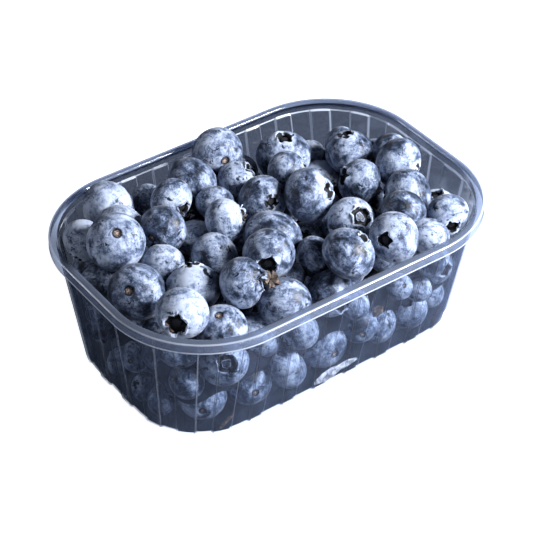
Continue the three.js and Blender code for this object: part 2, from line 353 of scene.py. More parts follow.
# ---- Materials ----
def linear(hex_colour, alpha=1.0):
    """An sRGB hex colour as linear values."""
    values = []
    for i in (1, 3, 5):
        channel = int(hex_colour[i:i + 2], 16) / 255
        if channel <= 0.04045:
            values.append(channel / 12.92)
        else:
            values.append(((channel + 0.055) / 1.055) ** 2.4)
    return (*values, alpha)


def new_material(name):
    material = bpy.data.materials.new(name)
    material.use_nodes = True
    material.node_tree.nodes.clear()
    return material


def add(material, kind, values=None, links=None, **settings):
    """Adds a node with its settings, its sockets' values and the links into it."""
    made = material.node_tree.nodes.new(kind)
    for name, value in settings.items():
        setattr(made, name, value)
    for socket, value in (values or {}).items():
        made.inputs[socket].default_value = value
    for socket, source in (links or {}).items():
        material.node_tree.links.new(source, made.inputs[socket])
    return made


def ramp(material, source, stops, interpolation="LINEAR"):
    made = add(material, "ShaderNodeValToRGB", links={"Fac": source})
    made.color_ramp.interpolation = interpolation
    elements = made.color_ramp.elements
    while len(elements) < len(stops):
        elements.new(0.5)
    for element, (place, colour) in zip(elements, stops):
        element.position = place
        element.color = colour
    return made.outputs["Color"]


def grey(value):
    return (value, value, value, 1)


def berry_skin():
    """Blueberry skin: blue-black, under a pale waxy bloom that is mottled, rubbed and scratched off."""
    look = new_material("blueberry_skin_with_waxy_bloom")
    own = add(look, "ShaderNodeAttribute", attribute_name="own").outputs["Vector"]
    tone = add(look, "ShaderNodeAttribute", attribute_name="tone").outputs["Vector"]
    tones = add(look, "ShaderNodeSeparateXYZ", links={"Vector": tone}).outputs
    shift = add(look, "ShaderNodeMath", {1: 60.0}, {0: tones["Y"]}, operation="MULTIPLY").outputs[0]

    def cloud(scale, detail, roughness, distortion, place=own):
        return add(
            look, "ShaderNodeTexNoise",
            {"Scale": scale, "Detail": detail, "Roughness": roughness, "Distortion": distortion},
            {"Vector": place, "W": shift}, noise_dimensions="4D",
        ).outputs["Fac"]

    def plus(share, source, rest):
        return add(look, "ShaderNodeMath", {1: share}, {0: source, 2: rest},
                   operation="MULTIPLY_ADD").outputs[0]

    def times(one, other):
        return add(look, "ShaderNodeMath", links={0: one, 1: other}, operation="MULTIPLY").outputs[0]

    def between(source, low, high, start=0.0, end=1.0):
        return add(look, "ShaderNodeMapRange",
                   {"From Min": low, "From Max": high, "To Min": start, "To Max": end},
                   {"Value": source}, interpolation_type="SMOOTHSTEP").outputs["Result"]

    # Wide clouds 6 mm across, mottling of 2 mm, strokes left by rubbing, and speckle of 0.4 mm
    wide = cloud(1.3, 2, 0.5, 0.9)
    mottle = cloud(3.6, 8, 0.72, 1.4)
    long_way = add(look, "ShaderNodeMapping", {"Scale": (1.6, 1.6, 9.0)}, {"Vector": own}).outputs[0]
    strokes = cloud(1.0, 4, 0.65, 0.6, long_way)
    speckle = cloud(20, 3, 0.8, 0)
    # Patches rubbed bare, with a ragged hard edge, and hair-fine scratches
    bare = between(cloud(2.3, 6, 0.66, 0.8), 0.58, 0.64)
    warp = add(look, "ShaderNodeTexNoise", {"Scale": 2.5, "Detail": 3}, {"Vector": own}).outputs["Color"]
    bent = add(look, "ShaderNodeMix", {"Factor": 0.35}, {"A": own, "B": warp},
               data_type="VECTOR").outputs["Result"]
    cells = add(look, "ShaderNodeTexVoronoi", {"Scale": 5.5}, {"Vector": bent, "W": shift},
                voronoi_dimensions="4D", feature="DISTANCE_TO_EDGE").outputs["Distance"]
    scratches = times(between(cells, 0.0, 0.035, 1.0, 0.0), between(cloud(2.2, 2, 0.5, 0), 0.5, 0.6))
    # Thick round the crown, and thinner near the axis: in the middle of the crown and round the stem scar
    height = add(look, "ShaderNodeSeparateXYZ", links={"Vector": own}).outputs["Z"]
    flat = add(look, "ShaderNodeVectorMath", {1: (1, 1, 0)}, {0: own}, operation="MULTIPLY").outputs[0]
    from_axis = add(look, "ShaderNodeVectorMath", links={0: flat}, operation="LENGTH").outputs["Value"]
    collar = times(between(from_axis, 0.38, 0.55, 0.35, 0.0), between(height, 0.0, 0.3))
    pole = between(from_axis, 0.13, 0.2, 1.0, 0.0)

    # The level follows the bloom of ten: the berry's own bloom, and painted light where it was raised on
    # berries in shade
    level = add(look, "ShaderNodeMath", {1: 1.1, 2: -0.55}, {0: tones["X"]},
                operation="MULTIPLY_ADD").outputs[0]
    thick = plus(2.7, wide, level)
    thick = plus(2.4, mottle, thick)
    thick = plus(0.9, strokes, thick)
    thick = plus(1.1, speckle, thick)
    thick = plus(-1.2, bare, thick)
    thick = plus(-0.5, scratches, thick)
    thick = plus(1.0, collar, thick)
    thick = plus(-1.0, pole, thick)
    bloom_and_painted_light = between(thick, 2.35, 4.4)
    colour = ramp(look, bloom_and_painted_light, (
        (0.0, linear("#0a0d14")),
        (0.25, linear("#1c2432")),
        (0.5, linear("#4a576f")),
        (0.75, linear("#8692a8")),
        (1.0, linear("#b3bdcd")),
    ))
    rough = between(bloom_and_painted_light, 0.0, 1.0, 0.34, 0.7)
    bump = add(look, "ShaderNodeBump", {"Strength": 0.35, "Distance": 0.12 * MM},
               {"Height": thick}).outputs["Normal"]
    shader = add(look, "ShaderNodeBsdfPrincipled",
                 {"IOR": 1.4, "Sheen Weight": 0.12, "Sheen Roughness": 0.4},
                 {"Base Color": colour, "Roughness": rough, "Normal": bump})
    add(look, "ShaderNodeOutputMaterial", links={"Surface": shader.outputs[0]})
    return look


def dry_matter(name, scale, stops, lift=0.3):
    """Matt, papery dried tissue, coloured by its fibres."""
    look = new_material(name)
    own = add(look, "ShaderNodeAttribute", attribute_name="own").outputs["Vector"]
    fibres = add(look, "ShaderNodeTexNoise", {"Scale": scale, "Detail": 4, "Roughness": 0.7},
                 {"Vector": own}).outputs["Fac"]
    colour = ramp(look, fibres, stops)
    bump = add(look, "ShaderNodeBump", {"Strength": 0.6, "Distance": lift * MM},
               {"Height": fibres}).outputs["Normal"]
    shader = add(look, "ShaderNodeBsdfPrincipled", {"Roughness": 0.8},
                 {"Base Color": colour, "Normal": bump})
    add(look, "ShaderNodeOutputMaterial", links={"Surface": shader.outputs[0]})
    return look


def calyx():
    """Dried calyx: the hollow of the crown is blue-black and papery; its near-black is also painted shade,
    for the dark deep in the hollow.
    """
    return dry_matter("dried_calyx_and_painted_shade", 9, (
        (0.35, linear("#06070b")),
        (0.6, linear("#14151c")),
        (0.8, linear("#35313a")),
    ))


def stem_scar():
    """Dry stem scar: where the stalk broke off, corky, tan in the middle and brown at its edge."""
    look = new_material("dry_stem_scar")
    own = add(look, "ShaderNodeAttribute", attribute_name="own").outputs["Vector"]
    cork = add(look, "ShaderNodeTexNoise", {"Scale": 22, "Detail": 3, "Roughness": 0.8},
               {"Vector": own}).outputs["Fac"]
    flat = add(look, "ShaderNodeVectorMath", {1: (1, 1, 0)}, {0: own}, operation="MULTIPLY").outputs[0]
    from_axis = add(look, "ShaderNodeVectorMath", links={0: flat}, operation="LENGTH").outputs["Value"]
    edge = add(look, "ShaderNodeMath", {1: -2.4, 2: 0.22}, {0: from_axis},
               operation="MULTIPLY_ADD").outputs[0]
    tan = add(look, "ShaderNodeMath", links={0: cork, 1: edge}, operation="ADD").outputs[0]
    colour = ramp(look, tan, (
        (0.4, linear("#1a1617")),
        (0.55, linear("#665850")),
        (0.72, linear("#a8978c")),
        (0.85, linear("#cdbdb3")),
    ))
    bump = add(look, "ShaderNodeBump", {"Strength": 1.0, "Distance": 0.3 * MM},
               {"Height": cork}).outputs["Normal"]
    shader = add(look, "ShaderNodeBsdfPrincipled", {"Roughness": 0.85},
                 {"Base Color": colour, "Normal": bump})
    add(look, "ShaderNodeOutputMaterial", links={"Surface": shader.outputs[0]})
    return look


def dry_petal():
    """Dried petal and stalk: brown, with paler patches."""
    return dry_matter("dried_petal", 0.9, (
        (0.38, linear("#1c1614")),
        (0.52, linear("#47392f")),
        (0.75, linear("#8d7b6c")),
    ), 0.15)


def painted_light_strips():
    """Painted light: off-white fibrous strips, shaped as split stalk, that stand for light falling on the
    bare base sheet.
    """
    return dry_matter("pale_strips_painted_light", 0.6, (
        (0.35, linear("#4a4c55")),
        (0.5, linear("#9d9ea6")),
        (0.65, linear("#dcdde3")),
    ), 0.15)


def deep_shade():
    """Painted shade: the depth of the heap, where no single berry can be told from the next, as dark lumps
    that are darker still between them.
    """
    look = new_material("berries_deep_in_shade")
    place = add(look, "ShaderNodeTexCoord").outputs["Object"]
    lumps = add(look, "ShaderNodeTexVoronoi", {"Scale": 1 / (14 * MM)},
                {"Vector": place}).outputs["Distance"]
    colour = ramp(look, lumps, ((0.2, linear("#1a2233")), (0.8, linear("#07080c"))))
    shader = add(look, "ShaderNodeBsdfPrincipled", {"Roughness": 0.9}, {"Base Color": colour})
    add(look, "ShaderNodeOutputMaterial", links={"Surface": shader.outputs[0]})
    return look


# The sheet darkens where Layer Weight's facing passes this, up to this tint where it is seen edge on
GLANCING = 0.7
EDGE_ON_TINT = "#333b4a"


def sheet_plastic(name, tint, veil_colour, veil, roughness=0.1):
    """Thermoformed smoky PET: see-through, glossy, with a haze that hides a share of what is behind.
    It is darker at a glancing angle, where the way through it is long. What leaves the sheet passes
    freely, so that each wall tints and veils only once."""
    look = new_material(name)
    glancing = add(look, "ShaderNodeLayerWeight", {"Blend": 0.5}).outputs["Facing"]
    deep = add(look, "ShaderNodeMapRange", {"From Min": GLANCING, "From Max": 1.0}, {"Value": glancing},
               interpolation_type="SMOOTHSTEP").outputs["Result"]
    through = ramp(look, deep, ((0.0, linear(tint)), (1.0, linear(EDGE_ON_TINT))))
    clear = add(look, "ShaderNodeBsdfTransparent", links={"Color": through}).outputs[0]
    haze = add(look, "ShaderNodeBsdfDiffuse", {"Color": linear(veil_colour)}).outputs[0]
    body = add(look, "ShaderNodeMixShader", {0: veil}, {1: clear, 2: haze}).outputs[0]
    gloss = add(look, "ShaderNodeBsdfGlossy", {"Color": grey(1), "Roughness": roughness}).outputs[0]
    edge = add(look, "ShaderNodeFresnel", {"IOR": 1.5}).outputs[0]
    sheet = add(look, "ShaderNodeMixShader", links={0: edge, 1: body, 2: gloss}).outputs[0]
    passing = add(look, "ShaderNodeBsdfTransparent", {"Color": grey(1)}).outputs[0]
    inside = add(look, "ShaderNodeNewGeometry").outputs["Backfacing"]
    in_shadow = add(look, "ShaderNodeLightPath").outputs["Is Shadow Ray"]
    free = add(look, "ShaderNodeMath", links={0: inside, 1: in_shadow}, operation="MAXIMUM").outputs[0]
    whole = add(look, "ShaderNodeMixShader", links={0: free, 1: sheet, 2: passing}).outputs[0]
    add(look, "ShaderNodeOutputMaterial", links={"Surface": whole})
    return look


def tray_plastics():
    """The sheet's finishes in pairs, first face and second face, and that of the ribs' edges."""
    return (
        sheet_plastic("smoky_pet_wall_outside", "#d0d8e2", "#8a98ab", 0.026),
        # Painted shade: the wall's inside is tinted far darker than its outside, so that a far wall seen
        # from within the tray looks dark
        sheet_plastic("smoky_pet_wall_inside_painted_shade", "#3b414d", "#5b6478", 0.03),
        # Painted highlight: the ledge's and lip's second face has a thick pale haze that draws lines of
        # light along the bends
        sheet_plastic("smoky_pet_ledge_underside", "#cdd7e8", "#8c99b4", 0.045),
        sheet_plastic("smoky_pet_ledge_top_painted_highlight", "#5a6272", "#dfe6f2", 0.5),
        sheet_plastic("smoky_pet_flange_underside", "#4c576c", "#7d8aa6", 0.05),
        sheet_plastic("smoky_pet_flange_top", "#7d889f", "#a9b7d0", 0.18),
        # Painted highlight, together with the real gloss: the crest's pale haze draws a line of light
        # along the rim
        sheet_plastic("smoky_pet_crest_underside", "#8a95ad", "#a9b7d0", 0.1),
        sheet_plastic("smoky_pet_crest_top_painted_highlight", "#8f9bb3", "#dde6f6", 0.34, 0.2),
        sheet_plastic("smoky_pet_skirt_inside", "#6f788c", "#93a0b8", 0.05),
        sheet_plastic("smoky_pet_skirt_outside", "#9aa6bd", "#a3b0c8", 0.22),
        # Painted highlight: the ribs' sides carry more pale haze than the wall, so that each rib shows as
        # a line of light
        sheet_plastic("smoky_pet_rib_side_outside_painted_highlight", "#b3bccd", "#b9c3d6", 0.12),
        sheet_plastic("smoky_pet_rib_side_inside_painted_highlight", "#434a58", "#c6cfe0", 0.2),
        sheet_plastic("smoky_pet_edges", "#6b7384", "#a3aec4", 0.05, 0.3),
    )


def plain_floor():
    look = new_material("matt_white_board")
    shader = add(look, "ShaderNodeBsdfPrincipled",
                 {"Base Color": linear("#b4b8c0"), "Roughness": 0.9}).outputs[0]
    path = add(look, "ShaderNodeLightPath").outputs
    # Lit from behind as a light table is, so that the shadow on it stays faint
    glow = add(look, "ShaderNodeEmission", {"Color": grey(1), "Strength": 0.93}).outputs[0]
    lit = add(look, "ShaderNodeAddShader", links={0: shader, 1: glow}).outputs[0]
    seen = add(look, "ShaderNodeMixShader", links={0: path["Is Camera Ray"], 1: shader, 2: lit}).outputs[0]
    # Painted reflection: seen in gloss, the floor is a dim blue-grey instead of white, which sets the tint
    # that the tray's walls reflect
    painted_reflection = add(look, "ShaderNodeBsdfDiffuse", {"Color": linear("#5a6580")}).outputs[0]
    both = add(look, "ShaderNodeMixShader", links={0: path["Is Glossy Ray"], 1: seen, 2: painted_reflection}).outputs[0]
    add(look, "ShaderNodeOutputMaterial", links={"Surface": both})
    return look


# ---- Tray ----
def straight_stations(side, ribs):
    stations = []
    for i in range(ribs):
        middle = (i - (ribs - 1) / 2) * RIB_PITCH
        for across, slope, proud in ((-1, -1, 0), (-1, 0, 1), (1, 0, 1), (1, 1, 0)):
            stations.append({"side": side, "middle": middle, "across": across,
                             "slope": slope, "proud": proud})
    return stations


def arc_angles(start, end):
    count = max(1, math.ceil((end - start) / CORNER_STEP))
    return [mix(start, end, i / count) for i in range(count + 1)]


def corner_stations(corner):
    stations = []
    last = CORNER_START
    for middle in CORNER_RIBS:
        start = middle - CORNER_RIB_HALF
        end = middle + CORNER_RIB_HALF
        stretches = ((last, start - CORNER_SLOPE, 0), (start, end, 1))
        for low, high, proud in stretches:
            for angle in arc_angles(low, high):
                stations.append({"side": corner, "angle": angle, "proud": proud})
        last = end + CORNER_SLOPE
    for angle in arc_angles(last, 90 - CORNER_START):
        stations.append({"side": corner, "angle": angle, "proud": 0})
    return stations


STATIONS = (
    straight_stations("right", SHORT_SIDE_RIBS) + corner_stations(0)
    + straight_stations("back", LONG_SIDE_RIBS) + corner_stations(1)
    + straight_stations("left", SHORT_SIDE_RIBS) + corner_stations(2)
    + straight_stations("front", LONG_SIDE_RIBS) + corner_stations(3)
)


def station_point(station, z, out, sunk):
    """Where a ring passes a station: `out` from the ribs' outside, panels `sunk` behind it."""
    half_length, half_width, radius, share = wall_at(z)
    push = out - (0 if station["proud"] else sunk)
    side = station["side"]
    if "angle" in station:
        turn = (side * 90 + station["angle"]) * DEGREE
        sign_x = 1 if side in (0, 3) else -1
        sign_y = 1 if side < 2 else -1
        return Vector((sign_x * (half_length - radius) + (radius + push) * math.cos(turn),
                       sign_y * (half_width - radius) + (radius + push) * math.sin(turn), z)) * MM
    half = mix(RIB_FOOT, RIB_HEAD, share) / 2
    along = station["middle"] + station["across"] * half + station["slope"] * RIB_SLOPE
    places = {"right": (half_length + push, along), "left": (-half_length - push, -along),
              "back": (-along, half_width + push), "front": (along, -half_width - push)}
    return Vector((*places[side], z)) * MM


def bend(middle_out, middle_z, radius, start, end, finish):
    """Rings round a bend of the sheet, from one angle to another."""
    rings = []
    for step in range(BEND_STEPS + 1):
        turn = mix(start, end, step / BEND_STEPS) * DEGREE
        reach = middle_out + radius * math.cos(turn)
        rings.append((middle_z + radius * math.sin(turn), reach, 0, finish))
    return rings


def skin_rings():
    """The outside of the sheet from the floor's edge over the rim to the end of the skirt:
    height, reach out, how far the panels are sunk, and the finish of the stretch up to there."""
    top = HEIGHT - SHEET
    skirt = RIM_OVERHANG - SHEET
    rings = []
    for step in range(BEND_STEPS + 1):
        turn = step / BEND_STEPS * math.pi / 2
        rings.append((EDGE_ROUND * (1 - math.cos(turn)), -EDGE_ROUND * (1 - math.sin(turn)),
                      RIB_DEPTH, WALL))
    rings += [(SHELF_Z - LEDGE, 0, RIB_DEPTH, WALL), (SHELF_Z, 0, 0, PAINTED_HIGHLIGHT_LINES)]
    inner = bend(INNER_BEND, top - INNER_BEND, INNER_BEND, 180, 90, FLANGE)
    rings += [(*inner[0][:3], WALL)] + inner[1:]
    around = bend(skirt - OUTER_BEND, top - FLANGE_FALL - OUTER_BEND, OUTER_BEND, 72, 0, CREST_PAINTED_HIGHLIGHT)
    rings += [(*around[0][:3], FLANGE)] + around[1:3]
    rings += [(*ring[:3], SKIRT_SIDE) for ring in around[3:]]
    rings.append((HEIGHT - SKIRT + LIP, skirt, 0, SKIRT_SIDE))
    rings.append((HEIGHT - SKIRT, skirt + LIP_FLARE, 0, PAINTED_HIGHLIGHT_LINES))
    return rings


def new_disc(name, corners):
    """A flat disc with the given corners, to extrude a piece from."""
    deselect()
    bpy.ops.mesh.primitive_circle_add(vertices=len(corners), fill_type="NGON", radius=MM)
    piece = add_piece(name, bpy.context.object)
    for index, corner in zip(piece.data.polygons[0].vertices, corners):
        piece.data.vertices[index].co = corner
    return piece


def extrude_to(piece, corners, finish=0):
    """Extrudes the selected face where it is, moves its corners to their new places,
    and gives the stretch that this makes its finish."""
    first = len(piece.data.vertices)
    bpy.ops.object.mode_set(mode="EDIT")
    bpy.ops.mesh.extrude_region_move(TRANSFORM_OT_translate={"value": (0, 0, 0)})
    bpy.ops.object.mode_set(mode="OBJECT")
    face = next(f for f in piece.data.polygons if f.select)
    for index, corner in zip(face.vertices, corners):
        piece.data.vertices[index].co = corner
    for made in piece.data.polygons:
        if max(made.vertices) >= first:
            made.material_index = finish


def face_outwards(piece):
    make_active(piece)
    bpy.ops.object.mode_set(mode="EDIT")
    bpy.ops.mesh.select_all(action="SELECT")
    bpy.ops.mesh.normals_make_consistent(inside=False)
    bpy.ops.object.mode_set(mode="OBJECT")


def tray_ring(ring):
    return [station_point(station, *ring[:3]) for station in STATIONS]


def is_rib_side(face):
    """Whether a face of the wall is one of the narrow ones beside a rib, that face along the wall."""
    z = face.center.z / MM
    half_length, half_width, radius, _ = wall_at(z)
    reach_x = (half_length - radius) * MM
    reach_y = (half_width - radius) * MM
    out = Vector((face.center.x - min(max(face.center.x, -reach_x), reach_x),
                  face.center.y - min(max(face.center.y, -reach_y), reach_y))).normalized()
    flat = Vector(face.normal[:2])
    on_wall = SHEET < z < SHELF_Z - LEDGE and flat.length > STEEP
    return on_wall and abs(out.dot(flat.normalized())) < ACROSS


def tray():
    """A disc, extruded ring by ring over the rim and down the wall, then given its thickness."""
    rings = skin_rings()[::-1]
    piece = new_disc("tray_sheet", tray_ring(rings[0]))
    for material in tray_plastics():
        piece.data.materials.append(material)
    for before, ring in zip(rings, rings[1:]):
        extrude_to(piece, tray_ring(ring), before[3])
    select_faces(piece, lambda face: len(face.vertices) > 4 and face.center.z > SKIRT * MM)
    bpy.ops.mesh.delete(type="ONLY_FACE")
    bpy.ops.object.mode_set(mode="OBJECT")
    face_outwards(piece)
    floor_face = max(piece.data.polygons, key=lambda face: len(face.vertices))
    if floor_face.normal.z > 0:
        bpy.ops.object.mode_set(mode="EDIT")
        bpy.ops.mesh.flip_normals()
        bpy.ops.object.mode_set(mode="OBJECT")
    for face in piece.data.polygons:
        if is_rib_side(face):
            face.material_index = RIB_SIDE_PAINTED_HIGHLIGHT
    apply_modifier(piece, "SOLIDIFY", thickness=SHEET * MM, offset=-1, use_even_offset=True,
                   material_offset=1, material_offset_rim=1)
    apply_modifier(piece, "BEVEL", width=RIB_EDGE * MM, segments=2, limit_method="ANGLE",
                   angle_limit=BEVEL_FROM * DEGREE, material=EDGES)
    make_active(piece)
    bpy.ops.object.shade_smooth_by_angle(angle=SMOOTH_TO * DEGREE)
    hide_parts("tray")
    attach(piece, "root")
    return piece


# ---- One berry ----
def skin_height(radius):
    """Height of the berry's skin over its middle, at a distance from its axis."""
    full = MODEL_WIDTH / 2
    return OBLATE * math.sqrt(full * full - radius * radius)


def crown_rings(crown):
    """The calyx from the middle of its hollow over the lobes to its foot: (radius, height, lobed)."""
    edge = crown["hollow"]
    base = skin_height(edge)
    tip = edge + crown["lean"]
    foot = max(edge, tip - 0.4) + crown["thick"] + 0.2
    middle = max(0.5 * edge, crown["disc"])
    return [
        (0.4, base - 0.4 * crown["depth"], 0),
        (middle, base - 0.5 * crown["depth"], 0),
        (mix(middle, 0.9 * edge, 0.3), base - crown["depth"], 0.2),
        (0.9 * edge, base - 0.9 * crown["depth"], 0.3),
        (edge, base - 0.25 * crown["depth"], 0.6),
        (edge + 0.3 * crown["lean"], base + 0.45 * crown["height"], 0.8),
        (tip, base + crown["height"], 1),
        (tip + crown["thick"], base + crown["height"] - 0.1, 1),
        (foot - 0.1, base + 0.4 * crown["height"], 0.6),
        (foot + 0.15, skin_height(foot) + 0.08, 0.1),
    ]


def body_rings(first_radius, last_radius):
    """The skin from the crown's foot round to the stem's dimple."""
    full = MODEL_WIDTH / 2
    start = math.asin(first_radius / full)
    end = math.pi - math.asin(last_radius / full)
    rings = []
    for step in range(BODY_STEPS + 1):
        turn = mix(start, end, step / BODY_STEPS)
        rings.append((full * math.sin(turn), OBLATE * full * math.cos(turn), 0))
    return rings


def stem_rings():
    """The dimple under the stalk and the scar in it."""
    low = -skin_height(0)
    return [
        (1.45 * SCAR_RADIUS, low + 0.35, 0),
        (1.15 * SCAR_RADIUS, low + 0.65, 0),
        (SCAR_RADIUS, low + 0.45, 0),
        (0.8 * SCAR_RADIUS, low + 0.6, 0),
        (0.3 * SCAR_RADIUS, low + 0.55, 0),
    ]


def berry_ring(ring, notch):
    radius, height, lobed = ring
    corners = []
    for side in range(BERRY_SIDES):
        turn = side / BERRY_SIDES * 2 * math.pi
        dip = lobed * notch * (1 - abs(math.cos(LOBES * turn / 2)) ** 0.8)
        reach = radius + 0.45 * dip
        corners.append(Vector((reach * math.cos(turn), reach * math.sin(turn), height - dip)) * MM)
    return corners


def model_berry(kind, materials):
    """One berry, crown up: extruded ring by ring from the hollow of its crown to its stem scar."""
    crown = CROWNS[kind]
    rings = crown_rings(crown)
    rings += body_rings(rings[-1][0] + 0.5, 2.1 * SCAR_RADIUS) + stem_rings()
    piece = new_disc("berry_" + kind, berry_ring(rings[0], crown["notch"]))
    for ring in rings[1:]:
        extrude_to(piece, berry_ring(ring, crown["notch"]))
    face_outwards(piece)
    for material in materials:
        piece.data.materials.append(material)
    hollow_top = skin_height(crown["hollow"]) + 0.5 * crown["height"]
    for face in piece.data.polygons:
        radius = math.hypot(face.center.x, face.center.y) / MM
        height = face.center.z / MM
        if height > 0 and crown["disc"] < radius < crown["hollow"] + 0.3 and height < hollow_top:
            face.material_index = HOLLOW
        if height < 0 and radius < 1.1 * SCAR_RADIUS:
            face.material_index = SCAR
    own = piece.data.attributes.new("own", "FLOAT_VECTOR", "POINT")
    for value, vertex in zip(own.data, piece.data.vertices):
        value.vector = vertex.co / (MODEL_WIDTH / 2 * MM)
    make_active(piece)
    bpy.ops.object.shade_smooth_by_angle(angle=50 * DEGREE)
    return piece


# ---- Heap ----
def room_at(z):
    half_length, half_width, radius, _ = wall_at(z)
    inset = RIB_DEPTH + SHEET + GAP
    return half_length - inset, half_width - inset, radius - inset


def keep_inside(berry):
    """Moves a berry in until it clears the walls, the floor and the rim."""
    half_length, half_width, radius = room_at(berry["z"])
    over = max(0, berry["z"] - HEIGHT)
    half = berry["width"] / 2
    reach = math.sqrt(max(0, half * half - over * over)) * SWELL
    from_x = berry["x"] - min(max(berry["x"], radius - half_length), half_length - radius)
    from_y = berry["y"] - min(max(berry["y"], radius - half_width), half_width - radius)
    away = math.hypot(from_x, from_y)
    limit = radius - reach
    if away > limit:
        berry["x"] -= from_x * (1 - limit / away)
        berry["y"] -= from_y * (1 - limit / away)
    berry["z"] = max(berry["z"], half * SWELL + SHEET + GAP)
    return berry


def listed_berry(row):
    names = ("x", "y", "z", "width", "bearing", "lift", "bloom_and_painted_light", "crown")
    return keep_inside(dict(zip(names, row)))


def fits(berry, others, press):
    place = Vector((berry["x"], berry["y"], berry["z"]))
    for other in others:
        apart = (place - Vector((other["x"], other["y"], other["z"]))).length
        if apart < press * (berry["width"] + other["width"]) / 2:
            return False
    return True


def try_berry(berries, x, y, z, source, press=PRESS):
    width = source(SMALLEST, LARGEST)
    berry = {"x": x, "y": y, "z": z, "width": width, "bearing": source(0, 360),
             "lift": source(-60, 60), "bloom_and_painted_light": FILL_BLOOM, "crown": "shut"}
    keep_inside(berry)
    if fits(berry, berries, press):
        berries.append(berry)


def fill_between(berries, heights, source, press=PRESS):
    """Fills between the berries on top with berries that lie lower."""
    for height in heights:
        for x in range(-FILL_LENGTH, FILL_LENGTH + 1, FILL_STEP):
            for y in range(-FILL_WIDTH, FILL_WIDTH + 1, FILL_STEP):
                try_berry(berries, x, y, height, source, press)


def fill_layers(berries):
    """Fills the wall where the listed berries leave it free, with a ring of berries a layer."""
    for height in LAYERS:
        for angle in range(0, 360, LAYER_TURN):
            x = LENGTH * math.cos(angle * DEGREE)
            y = LENGTH * math.sin(angle * DEGREE)
            try_berry(berries, x, y, height + draw(-LAYER_SCATTER, LAYER_SCATTER), draw)


def wear_crown(vertex, over, left, shift):
    """Opens, shortens and frays the lobe that a point of the crown is on."""
    turn = math.atan2(vertex.co.y, vertex.co.x)
    lobe = round(turn / (2 * math.pi) * LOBES) % LOBES
    flare = abs(math.cos(turn * LOBES / 2))
    flare = 1 + LOBE_OPENING * flare * (left[lobe] - LOBE_USUALLY_LEFT)
    vertex.co.z += max(0, over) * (left[lobe] - 1)
    vertex.co.x *= flare
    vertex.co.y *= flare
    vertex.co += noise.noise_vector(vertex.co * FRAYS + shift) * FRAY_HEIGHT * MM


def place_berry(model, berry):
    """A copy of the model at a berry's size and place, a little uneven in its own way."""
    piece = bpy.data.objects.new("berry", model.data.copy())
    bpy.context.collection.objects.link(piece)
    size = berry["width"] / MODEL_WIDTH
    stretch = [vary(0.97, 1.03), vary(0.97, 1.03), vary(0.96, 1.03), 1]
    turn = Matrix.Rotation(berry["bearing"] * DEGREE, 4, "Z")
    tip = Matrix.Rotation((90 - berry["lift"]) * DEGREE, 4, "Y")
    spin = Matrix.Rotation(vary(0, 360) * DEGREE, 4, "Z")
    place = Matrix.Translation(Vector((berry["x"], berry["y"], berry["z"])) * MM)
    shift = Vector((vary(-50, 50), vary(-50, 50), vary(-50, 50)))
    left = [vary(0.1, 1.2) for _ in range(LOBES)]
    hollow = CROWNS[berry["crown"]]["hollow"] * MM
    for vertex in piece.data.vertices:
        radius = math.hypot(vertex.co.x, vertex.co.y)
        over = vertex.co.z - skin_height(radius / MM) * MM
        lump = noise.noise(vertex.co * LUMPS + shift)
        vertex.co *= 1 + LUMP_HEIGHT * lump
        if vertex.co.z > 0 and 0.55 * hollow < radius < hollow + CROWN_REACH * MM:
            wear_crown(vertex, over, left, shift)
    piece.data.transform(place @ turn @ tip @ spin @ Matrix.Diagonal(stretch) @ Matrix.Scale(size, 4))
    tone = piece.data.attributes.new("tone", "FLOAT_VECTOR", "POINT")
    values = (berry["bloom_and_painted_light"] / 10, vary(0, 1), vary(0, 1))
    tone.data.foreach_set("vector", values * len(piece.data.vertices))
    return piece


def heap():
    """All berries, in three pieces: those on top, those at the walls and those deep between."""
    materials = [berry_skin(), calyx(), stem_scar()]
    models = {kind: model_berry(kind, materials) for kind in CROWNS}
    top = [listed_berry(row) for row in TOP_BERRIES]
    berries = top + [listed_berry(row) for row in WALL_BERRIES]
    fill_between(berries, NEXT_LAYER, draw)
    fill_layers(berries)
    count = len(berries)
    fill_between(berries, DEEP_LAYER, vary, DEEP_PRESS)
    groups = {"berries_on_top": top, "berries_at_walls": berries[len(top):count],
              "berries_deep_down": berries[count:]}
    pieces = []
    for name, group in groups.items():
        copies = [place_berry(models[berry["crown"]], berry) for berry in group]
        pieces.append(join(copies, name))
    for model in models.values():
        bpy.data.objects.remove(model)
    for piece in pieces:
        make_active(piece)
        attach(piece, "root")
    pieces.append(core())
    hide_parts("berries")
    return pieces


def dried_strip(points, side, widths, thick, material):
    """A dry petal or bit of stalk: a flat disc extruded along a bent path, given in millimetres."""
    last = len(points) - 1
    rings = []
    for i, point in enumerate(points):
        along = (points[min(i + 1, last)] - points[max(i - 1, 0)]).normalized()
        over = side.cross(along).normalized()
        ring = []
        for step in range(STRIP_SIDES):
            turn = step / STRIP_SIDES * 2 * math.pi
            away = side * math.cos(turn) * widths[i] / 2 + over * math.sin(turn) * thick / 2
            crinkle = noise.noise_vector((point + away) * CRINKLES) * CRINKLE_HEIGHT
            ring.append((point + away + crinkle) * MM)
        rings.append(ring)
    piece = new_disc("dry_strip", rings[0])
    for ring in rings[1:]:
        extrude_to(piece, ring)
    face_outwards(piece)
    piece.data.materials.append(material)
    own = piece.data.attributes.new("own", "FLOAT_VECTOR", "POINT")
    for value, vertex in zip(own.data, piece.data.vertices):
        value.vector = vertex.co / MM
    make_active(piece)
    bpy.ops.object.shade_smooth_by_angle(angle=50 * DEGREE)
    return piece


